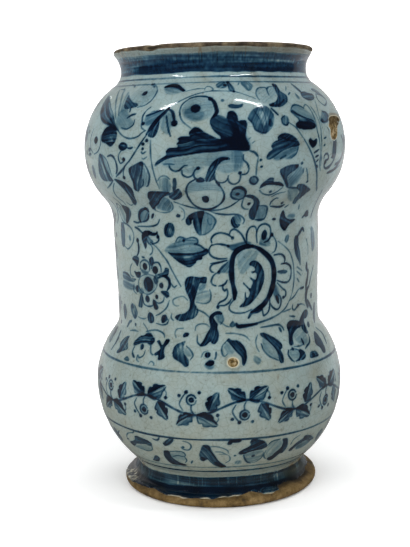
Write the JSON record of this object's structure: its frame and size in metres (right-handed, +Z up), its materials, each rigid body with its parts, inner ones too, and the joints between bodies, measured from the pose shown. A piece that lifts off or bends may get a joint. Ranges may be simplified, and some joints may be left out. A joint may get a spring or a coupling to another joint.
{
  "type": "albarello drug jar",
  "caption": "Thrown tin-glazed drug jar: full shoulder and belly either side of a drawn-in waist, flared foot and lip, pale glaze painted with cobalt bands, lines and foliage, open mouth.",
  "frame": {"origin": "centre of the standing ring under the foot, on the jar's axis", "axes": "+Z up along the axis of the jar from foot to lip; -Y towards the side shown in the picture, +X to its right"},
  "size_m": [0.155, 0.155, 0.26],
  "materials": {
    "fired_clay": "matt, unglazed",
    "tin_glaze": "glossy, lightly crazed",
    "inside_glaze": "glossy",
    "cobalt_pigment": "glossy, brushed in the glaze"
  },
  "bodies": {
    "root": {"clay_body": "fired_clay", "outer_glaze": "tin_glaze", "inner_glaze": "inside_glaze", "neck_band": "cobalt_pigment", "shoulder_lines": "cobalt_pigment", "belly_lines": "cobalt_pigment", "foot_lines": "cobalt_pigment", "foot_band": "cobalt_pigment"}
  },
  "joints": []
}
